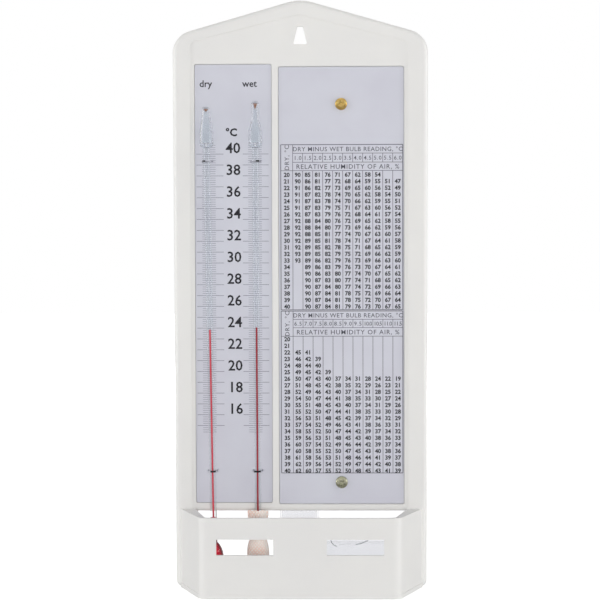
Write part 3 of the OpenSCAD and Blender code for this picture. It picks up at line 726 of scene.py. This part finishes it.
tables = {
    "left": -9.4,
    "right": 48.9,
    "firstColumn": 5.7,
    # columns of differences between the two readings, and the step from one to the next
    "differences": 11,
    "differenceStep": 0.5,
    "digits": 2.05,
    "headDigits": 2.0,
    "headSpread": (1.15, 0.85),   # spacing of the figures under 10, and from 10 on
    "bold": 0.1,
    "headBold": 0.02,
    "rule": 0.24,
    "frameRule": 0.34,
    # the two heads and the side's: words, height of their letters and spacing
    "heads": (("DRY MINUS WET BULB READING, °C", 2.15, 1.1), ("RELATIVE HUMIDITY OF AIR, %", 2.3, 1.15)),
    "side": ("DRY, °C", 2.2, 1.15),
    "degrees": range(20, 41),
    # top edge, rules under the heads, first row's baseline, rows' step, bottom edge and first
    # difference; then, for the rows that aren't full, the first filled column and the first empty
    # one after it
    "upper": {"top": -56.2, "rules": (-60.3, -64.6, -68.6), "row": -71.5, "rowStep": 3.155, "foot": -135.2,
              "first": 1.0, "filled": {20: (0, 9), **{celsius: (1, 11) for celsius in range(34, 41)}}},
    "lower": {"top": -135.8, "rules": (-139.8, -143.8, -147.9), "row": -150.25, "rowStep": 3.167,
              "foot": -213.7, "first": 6.5,
              "filled": {20: (0, 0), 21: (0, 0), 22: (0, 2), 23: (0, 3), 24: (0, 3), 25: (0, 4)}},
}

# Magnus formula for vapour over water in hectopascals, and the psychrometer's own values
air = {
    "vapourAtZero": 6.112,
    "slope": 17.62,
    "offset": 243.12,
    "factor": 0.00088,   # psychrometer factor of still air, per degree
    "pressure": 1013,
}


def vapour(celsius):
    return air["vapourAtZero"] * math.exp(air["slope"] * celsius / (air["offset"] + celsius))


def humidity(celsius, difference):
    wet = celsius - difference
    held = vapour(wet) - air["factor"] * air["pressure"] * difference
    return round(100 * held / vapour(celsius))


def differenceOf(part, column):
    return part["first"] + column * tables["differenceStep"]


def cellText(part, celsius, column):
    # the empty cells make the printed table's staggered corners
    first, end = part["filled"].get(celsius, (0, tables["differences"]))
    if first <= column < end:
        return str(humidity(celsius, differenceOf(part, column)))
    return ""


def printTable(which):
    t, part = tables, tables[which]
    inner = t["left"] + t["firstColumn"]
    step = (t["right"] - inner) / t["differences"]
    width, height = t["right"] - t["left"], part["top"] - part["foot"]
    centre, middle = (t["left"] + t["right"]) / 2, (part["top"] + part["foot"]) / 2
    parts = []
    for x in (t["left"], t["right"]):
        parts.append(inkBar("rule", x, middle, t["frameRule"], height))
    for z in (part["top"], part["foot"]):
        parts.append(inkBar("rule", centre, z, width, t["frameRule"], ink["cross"]))
    headTop, headLow, headFoot = part["rules"]
    innerCentre = (inner + t["right"]) / 2
    for z in (headTop, headLow):
        parts.append(inkBar("rule", innerCentre, z, t["right"] - inner, t["rule"], ink["cross"]))
    parts.append(inkBar("rule", centre, headFoot, width, t["rule"], ink["cross"]))
    parts.append(inkBar("rule", inner, middle, t["rule"], height, ink["fine"]))
    for top, foot in ((headFoot, part["foot"]), (headTop, headLow)):
        bar = inkBar("rule", inner + step, (top + foot) / 2, t["rule"], top - foot, ink["fine"])
        parts.append(rowOf(bar, t["differences"] - 1, dx=step))
    seat(joined(which + "_table_rules", parts), "base", "plate_print", finishes["ruleInk"])

    words = [inkText("degrees", "\n".join(str(c) for c in t["degrees"]), t["digits"],
                     t["left"] + t["firstColumn"] / 2, part["row"], t["bold"], part["rowStep"])]
    for column in range(t["differences"]):
        x = inner + (column + 0.5) * step
        lines = [cellText(part, c, column) for c in t["degrees"]]
        words.append(inkText("column", "\n".join(lines), t["digits"], x, part["row"], t["bold"],
                             part["rowStep"]))
    seat(joined(which + "_table_digits", words), "base", "plate_print", finishes["ink"])

    heads = []
    wide, narrow = t["headSpread"]
    for column in range(t["differences"]):
        head = differenceOf(part, column)
        heads.append(inkText("head", f"{head:.1f}", t["headDigits"], inner + (column + 0.5) * step,
                             headLow + (headTop - headLow - t["headDigits"]) / 2, t["headBold"],
                             spread=wide if head < 10 else narrow))
    for (body, height, spread), low, high in zip(t["heads"], (headTop, headFoot), (part["top"], headLow)):
        heads.append(inkText("head", body, height, innerCentre, low + (high - low - height) / 2,
                             t["headBold"], spread=spread))
    body, height, spread = t["side"]
    heads.append(inkText("head", body, height, t["left"] + (t["firstColumn"] + height) / 2,
                         (part["top"] + headFoot) / 2, t["headBold"], spread=spread, turn=90))
    seat(joined(which + "_table_heads", heads), "base", "plate_print", finishes["ruleInk"])


printTable("upper")
printTable("lower")
print("hygrometer: tables printed")


# Thermometers turned anew round their own axes, so that the glass is smooth. Sizes are the CAD's, but
# the bore is a little narrower, because the glass magnifies it.

thermometers = {
    # x and z of the bulb's middle and lean in degrees. Then heights: the filled neck over the bulb, the
    # cone over the chamber's widest part, the tip's end over the joint of stem and chamber, and the
    # column's top and that joint over the bulb's middle. Last, how far the dried drop reaches down.
    "dry": {"x": -41.8, "z": -255.3, "lean": 0.83, "neck": 11.6, "cone": 10, "tip": 18, "top": 110.88,
            "joint": 199.2, "drop": 1.2},
    "wet": {"x": -20.7, "z": -251.6, "lean": 0.2, "neck": 5, "cone": 6, "tip": 20.5, "top": 108.2,
            "joint": 195.5, "drop": 2.4},
    "y": -20.7,
    "stem": 1.65,
    "bore": 0.3,
    "bulb": (4.7, 9.4),       # radius and half height
    "neckWall": 0.45,
    "wall": 0.6,
    "chamber": (3.2, 5.5),    # radius and height of the widest part
    "tipRadius": 1.8,
    "tipRound": (0.9, 0.8),   # rounding of its end over its radius, outside and inside
    # radii of the small flats that close the bulb, the tip and the column
    "bulbPole": 0.08,
    "tipPole": 0.1,
    "columnPole": 0.05,
    "sides": 48,
    "spiritSides": 32,
    "smoothAngle": 50,
    "wetting": 0.02,          # the spirit wets the glass, so no air shows between them
    # the dried drop as radii and heights: first in its own lengths, then from the tip's inner end
    "dropFoot": ((0.15, -1), (0.45, -0.7)),
    "dropHead": ((0.85, -0.5), (0.95, -0.2), (0.5, 0.04)),
    "dropSmooth": 60,
}


def bulbCurve(radius, half, neckRadius, steps=18):
    # from the bulb's foot up to where its side meets the neck
    span = math.pi - math.asin(neckRadius / radius)
    angles = [-math.pi / 2 + span * i / steps for i in range(1, steps + 1)]
    pole = (thermometers["bulbPole"], -half)
    return [pole] + [(radius * math.cos(a), half * math.sin(a)) for a in angles]


def hangStem(obj, part):
    obj.rotation_euler = (0, math.radians(-part["lean"]), 0)
    obj.location = (part["x"] * mm, thermometers["y"] * mm, part["z"] * mm)
    applyPlace(obj)


def makeThermometer(side):
    t, part = thermometers, thermometers[side]
    radius, half = t["bulb"]
    wide, straight = t["chamber"]
    wall, tip, joint, pole = t["wall"], t["tipRadius"], part["joint"], t["tipPole"]
    step = wide - t["stem"]
    neckTop = half + part["neck"]
    outRound, inRound = t["tipRound"]
    outside = bulbCurve(radius, half, t["stem"]) + softened(
        [(t["stem"], half), (t["stem"], joint - step), (wide, joint - step / 3), (wide, joint + straight),
         (tip, joint + straight + part["cone"]), (tip, joint + part["tip"]), (pole, joint + part["tip"])],
        [step / 4, step / 2, wide, wide, tip * outRound])
    glass = turned(side + "_glass_tube", outside, t["sides"])
    neck = t["stem"] - t["neckWall"]
    inner, tipInner, top = wide - wall, tip - wall, joint + part["tip"] - 2 * wall
    cavity = bulbCurve(radius - wall, half - wall, neck) + [(neck, neckTop - t["neckWall"])] + softened(
        [(t["bore"], neckTop), (t["bore"], joint), (inner, joint + wall), (inner, joint + straight),
         (tipInner, joint + straight + part["cone"]), (tipInner, top), (pole, top)],
        [0, wall, inner, inner, tipInner * inRound])
    hollow = turned("hollow", cavity, t["sides"])
    turnInside(hollow)
    glass = joined(side + "_glass_tube", [glass, hollow])
    smoothBy(glass, t["smoothAngle"])
    hangStem(glass, part)
    seat(glass, "base", "glass", finishes["glass"], side + "_thermometer_glass")

    wet = t["wetting"]
    column = bulbCurve(radius - wall + wet, half - wall + wet, neck + wet) + [
        (neck + wet, neckTop - t["neckWall"]), (t["bore"] + wet, neckTop), (t["bore"] + wet, part["top"]),
        (t["columnPole"], part["top"] - t["bore"] / 2)]
    spirit = turned(side + "_spirit_column", column, t["spiritSides"])
    smoothBy(spirit, t["smoothAngle"])
    hangStem(spirit, part)
    seat(spirit, "base", "red_spirit", finishes[side + "Spirit"], side + "_spirit")

    # a brown trace that dried inside the sealed tip
    drop = [(r, top + h * part["drop"]) for r, h in t["dropFoot"]]
    drop += [(r, top + h) for r, h in t["dropHead"]]
    stain = turned(side + "_tip_residue", drop, t["spiritSides"])
    smoothBy(stain, t["dropSmooth"])
    hangStem(stain, part)
    seat(stain, "base", "red_spirit", finishes["driedSpirit"])


makeThermometer("dry")
makeThermometer("wet")
print("hygrometer: thermometers blown and filled")


# Clips and screws keep the CAD's shape

clips = {
    "smoothAngle": 60,
    # the places along a clip, from the stem's middle, whose front faces are painted dark: a painted dark
    # reflection on the shiny wire
    "paintedDarkSpans": {
        "dry_clip_upper": (-2.0, -0.5),
        "dry_clip_lower": (-0.9, 1.7),
        "wet_clip_upper": (0.2, 1.8),
        "wet_clip_lower": (-1.7, 1.7),
    },
}

screws = {
    "edge": 0.12,
    "edgeAngle": 40,
    "edgeSteps": 2,
    "smoothAngle": 40,
    # finish and slot of each
    "table_screw_top": ("brass", "brass_screw"),
    "table_screw_bottom": ("nickel", "nickel_screw"),
}


def makeClips():
    for name, (left, right) in clips["paintedDarkSpans"].items():
        wire = copyOfNode(name, name + "_wire")
        smoothBy(wire, clips["smoothAngle"])
        seat(wire, "base", "wire", finishes["brightWire"], name)
        wire.data.materials.append(finishes["darkWire"])
        low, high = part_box(name)
        middle = (low.x + high.x) / 2
        # painted dark reflection: the front faces inside each span take the dark wire
        for face in wire.data.polygons:
            offset = (face.center.x - middle) / mm
            if face.center.y < plateFront * mm and left < offset < right:
                face.material_index = 1


def makeScrews():
    for name in ("table_screw_top", "table_screw_bottom"):
        finish, slotName = screws[name]
        screw = copyOfNode(name, name + "_head")
        easeEdges(screw, screws["edge"], screws["edgeAngle"], screws["edgeSteps"])
        smoothBy(screw, screws["smoothAngle"])
        seat(screw, "base", slotName, finishes[finish], name)


makeClips()
makeScrews()
print("hygrometer: wire and screws finished")


# Feeder flask and its water

flask = {
    "edge": 0.4,
    "edgeAngle": 45,
    "frontWall": -12.9,     # inner face of the front wall
    "flatten": 0.3,         # the traces' height over their half width
    # grey lines flat on the front wall at the water's surface, standing for the dark look of its edge and
    # of bubble edges there: painted shade. Half width, then points as (x, z)
    "edgeShadeLines": {
        "corner": (0.2, ((14.2, -246.8), (14.6, -248.0), (15.3, -249.0), (17.1, -249.9))),
        "level": (0.07, ((18.1, -249.0), (20.5, -248.75), (24.4, -248.7))),
        "stroke": (0.24, ((26.2, -249.0), (28.5, -248.5), (30.5, -247.7), (32.2, -247.0))),
    },
}


def makeFeeder():
    shell = copyOfNode("feeder_flask", "flask_shell")
    easeEdges(shell, flask["edge"], flask["edgeAngle"])
    smoothBy(shell, flatFaces=True)
    seat(shell, "feeder", "feeder_clear", finishes["clear"], "feeder_flask")
    water = copyOfNode("feeder_water", "flask_water")
    smoothBy(water)
    seat(water, "feeder", "water", finishes["water"], "feeder_water")
    # painted shade: grey lines where the water's edge and bubble edges look dark
    for name, (halfWidth, points) in flask["edgeShadeLines"].items():
        trace = traced("water_edge_shade_line_" + name, [[(x, 0, z) for x, z in points]], halfWidth)
        # pressed flat against the wall
        trace.scale = (1, flask["flatten"], 1)
        trace.location = (0, flask["frontWall"] * mm, 0)
        applyPlace(trace)
        seat(trace, "feeder", "feeder_clear", finishes["waterEdgeShade"])


makeFeeder()
print("hygrometer: feeder filled")


# Wick: a cotton sleeve drawn over the wet bulb, tied above and below it, and its tail in the water

wick = {
    # height from the bulb's middle and outer radius, from the gathered foot to the ruffled top
    "foot": ((-12.65, 1.5), (-12.25, 1.05), (-11.3, 1.0), (-10.25, 1.0)),
    "top": ((10.4, 2.3), (11.6, 2.25), (12.8, 2.25), (14.0, 2.25), (14.4, 2.45), (15.0, 3.05), (15.7, 3.85),
            (16.4, 4.4), (17.4, 4.62), (18.5, 4.6), (19.6, 4.6)),
    "bulb": (4.85, 9.55, 0.45),    # radius and half height inside, thickness over them
    "bulbAngles": range(-75, 60, 5),
    "thick": 0.4,
    "smoothAngle": 60,
    "sides": 108,
    # height and depth of the folds
    "folds": ((-12.6, 0.16), (-12.0, 0.06), (-10.3, 0.06), (-9.2, 0.12), (-7.0, 0), (6.0, 0), (9.0, 0.1),
              (10.4, 0.05), (14.0, 0.05), (15.0, 0.2), (16.4, 0.36), (19.6, 0.5)),
    "foldCount": 9,
    # what makes the folds and the top's edge uneven: amount, count round the sleeve and start
    "foldDrift": (0.6, 2, 0),
    "foldDepth": (0.3, 4, 1),
    "rimWave": (0.03, 7),
    "slant": 0.28,                 # the top's front stands higher than its back
    "slantFrom": 14.0,
    "collar": 0.07,                # lifts its two sides and lowers its front and back
    "cloth": (0.034, 0.036),       # width and length as cut, in metres
    "clothShare": 0.85,            # the cut narrows to the foot and the neck
    "ply": 0.17,
    "plyOffset": 0.14,
    "twist": 1.7,
    # middle height, radius and turns of each tie
    "ties": {"wick_tie_upper": (12.2, 2.58, 2.5), "wick_tie_lower": (-11.25, 1.33, 1)},
    "tiePitch": 1.1,
    "tieSteps": 48,                # steps of each turn
    "threadEnd": 2.6,
    "endSteps": 12,
    "endSag": 0.08,
    "tailWidth": 7,
    "tailGrid": (14, 60),          # squares across and along
    "tailTrim": 0.3,               # what its curled edges take from the width
    "tailEdge": (0.12, 31),        # amount and count of the small waves of its edges
    "tailCurl": (0.05, 9, 5),      # amount, then slope along and across, of the waves of its face
    "tailThick": 0.6,
    "tailSmooth": 50,
    "tailPath": ((-14.95, -250.0), (-14.55, -252.8), (-12.76, -257.7), (-10.71, -258.5), (-8.88, -260.2),
                 (-8.2, -262.7), (-8.2, -265.8)),
}


def ripple(wave, angle):
    amount, count, start = wave
    return amount * math.sin(count * angle + start)


def makeSleeve():
    w, part = wick, thermometers["wet"]
    radius, half, over = w["bulb"]
    rimAmount, rimCount = w["rimWave"]
    stations = [(r, h) for h, r in w["foot"]]
    stations += [(radius * math.cos(math.radians(a)) + over, half * math.sin(math.radians(a)))
                 for a in w["bulbAngles"]]
    stations += [(r, h) for h, r in w["top"]]
    sleeve = turned("wick_cloth_sleeve", stations, w["sides"], closed=False)
    lengths, run = [(stations[0][1], 0)], 0
    for before, after in zip(stations, stations[1:]):
        run += (Vector(after) - Vector(before)).length
        lengths.append((after[1], run))
    mesh = sleeve.data
    heights = [v.co.z / mm for v in mesh.vertices]
    angles = [math.atan2(v.co.y, v.co.x) for v in mesh.vertices]
    # the cloth's own grid, before the folds draw it in
    uv = mesh.uv_layers.new(name="UVMap") if not mesh.uv_layers else mesh.uv_layers[0]
    for face in mesh.polygons:
        centre = math.atan2(face.center.y, face.center.x)
        for loop in face.loop_indices:
            vertex = mesh.loops[loop].vertex_index
            angle = angles[vertex]
            if abs(angle - centre) > math.pi:
                angle += math.copysign(2 * math.pi, centre)
            uv.data[loop].uv = (angle / (2 * math.pi) * w["cloth"][0],
                                between(lengths, heights[vertex]) * mm)
    for vertex, height, angle in zip(mesh.vertices, heights, angles):
        depth = between(w["folds"], height)
        wave = math.cos(w["foldCount"] * angle + ripple(w["foldDrift"], angle))
        wave += ripple(w["foldDepth"], angle)
        reach = math.hypot(vertex.co.x, vertex.co.y)
        grow = 1 + depth * mm * wave / reach
        vertex.co.x *= grow
        vertex.co.y *= grow
        lift = max(0, height - w["slantFrom"])
        collar = w["collar"] * math.cos(2 * angle) + rimAmount * math.cos(rimCount * angle)
        vertex.co.z -= lift * (w["slant"] * math.sin(angle) - collar) * mm
    solid = sleeve.modifiers.new("cloth", "SOLIDIFY")
    solid.thickness = w["thick"] * mm
    solid.offset = -1
    rounded = sleeve.modifiers.new("soft", "SUBSURF")
    rounded.levels = rounded.render_levels = 1
    applyModifiers(sleeve)
    smoothBy(sleeve, w["smoothAngle"])
    hangStem(sleeve, part)
    seat(sleeve, "base", "cloth", finishes["cotton"], "wick_sleeve")
    return sleeve, run


def makeTie(name):
    # two plies twisted round each other, wound round the neck, with short loose ends
    middle, radius, turns = wick["ties"][name]
    pitch, end = wick["tiePitch"], wick["threadEnd"]
    low = middle - turns * pitch / 2
    path = []
    perTurn, perEnd = wick["tieSteps"], wick["endSteps"]
    steps = round(turns * perTurn)
    for i in range(-perEnd, steps + perEnd + 1):
        angle = 2 * math.pi * min(max(i, 0), steps) / perTurn
        over = max(-i, i - steps, 0) / perEnd * end
        side = -1 if i < 0 else 1
        x, y = radius * math.cos(angle), radius * math.sin(angle)
        z = low + angle / (2 * math.pi) * pitch - wick["endSag"] * over ** 2
        path.append(Vector((x - side * over * math.sin(angle), y + side * over * math.cos(angle), z)))
    plies = []
    for start in (0, math.pi):
        run, ply = 0, []
        for i, point in enumerate(path):
            run += (point - path[max(i - 1, 0)]).length
            turn = start + 2 * math.pi * run / wick["twist"]
            outward = Vector((point.x, point.y, 0)).normalized()
            aside = outward * math.cos(turn) + Vector((0, 0, math.sin(turn)))
            ply.append(point + wick["plyOffset"] * aside)
        plies.append(ply)
    tie = traced(name + "_thread", plies, wick["ply"])
    hangStem(tie, thermometers["wet"])
    seat(tie, "base", "thread", finishes["thread"], name)
    return tie


def smoothPath(points, count):
    # evenly numbered points on a curve through all the given ones
    ends = [points[0]] + list(points) + [points[-1]]
    path = []
    for i in range(count + 1):
        t = i / count * (len(points) - 1)
        k = min(int(t), len(points) - 2)
        t -= k
        a, b, c, d = (Vector(p) for p in ends[k:k + 4])
        path.append(0.5 * (2 * b + (c - a) * t + (2 * a - 5 * b + 4 * c - d) * t ** 2
                           + (3 * b - a - 3 * c + d) * t ** 3))
    return path


def makeTail():
    columns, rows = wick["tailGrid"]
    path = smoothPath(wick["tailPath"], rows)
    bpy.ops.object.select_all(action="DESELECT")
    bpy.ops.mesh.primitive_grid_add(x_subdivisions=columns, y_subdivisions=rows, size=1)
    tail = bpy.context.active_object
    tail.name = "wick_cloth_tail"
    length = sum((b - a).length for a, b in zip(path, path[1:]))
    width = wick["tailWidth"]
    edgeAmount, edgeCount = wick["tailEdge"]
    curlAmount, curlAlong, curlAcross = wick["tailCurl"]
    for vertex in tail.data.vertices:
        across, along = vertex.co.x, vertex.co.y + 0.5
        y, z = path[round(along * rows)]
        curl = curlAmount * math.sin(curlAlong * along + curlAcross * across)
        edge = edgeAmount * math.sin(edgeCount * along) * across
        x = thermometers["wet"]["x"] + across * (width - wick["tailTrim"]) + edge
        vertex.co = Vector((x, y + curl, z)) * mm
    for loop in tail.data.uv_layers[0].data:
        loop.uv = (loop.uv[0] * width * mm, loop.uv[1] * length * mm)
    solid = tail.modifiers.new("cloth", "SOLIDIFY")
    solid.thickness = wick["tailThick"] * mm
    solid.offset = 0
    applyModifiers(tail)
    smoothBy(tail, wick["tailSmooth"])
    seat(tail, "base", "cloth", finishes["cotton"], "wick_tail")
    return tail, length


sleeve, sleeveLength = makeSleeve()
ties = [makeTie(name) for name in wick["ties"]]
tail, tailLength = makeTail()
print(f"hygrometer: wick tied on, sleeve {sleeveLength:.1f} mm, tail {tailLength:.1f} mm")


print("hygrometer: done")
